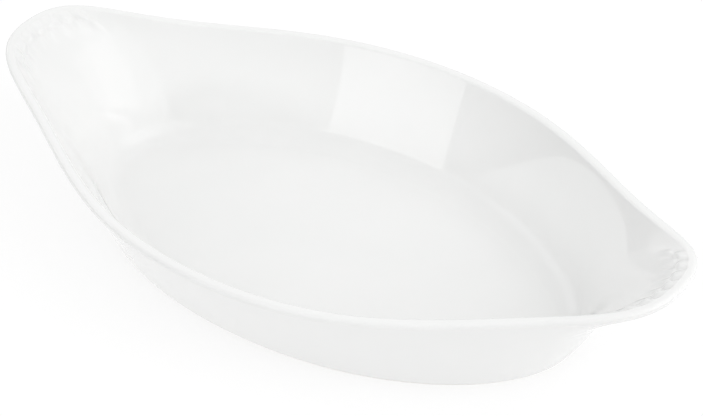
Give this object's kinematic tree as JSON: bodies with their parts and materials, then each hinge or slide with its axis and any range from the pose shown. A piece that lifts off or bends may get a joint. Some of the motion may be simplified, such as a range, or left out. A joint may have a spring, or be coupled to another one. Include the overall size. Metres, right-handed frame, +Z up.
{
  "type": "gratin dish",
  "caption": "Oval eared gratin dish in white glazed porcelain: a shallow well with sloping walls, and a rim that rises to a rounded ear at each end to lift it by.",
  "frame": {"origin": "middle of the standing face, under the middle of the dish", "axes": "+X along the length, through the two ears; +Y across the width; +Z up, out of the dish's mouth"},
  "size_m": [0.3212, 0.1768, 0.0583],
  "materials": {
    "bare_porcelain": "matt, fine-grained, unglazed",
    "glaze": "white gloss"
  },
  "bodies": {
    "root": {"porcelain_body": "bare_porcelain", "glaze_coat": "glaze", "base_glaze": "glaze"}
  },
  "joints": []
}
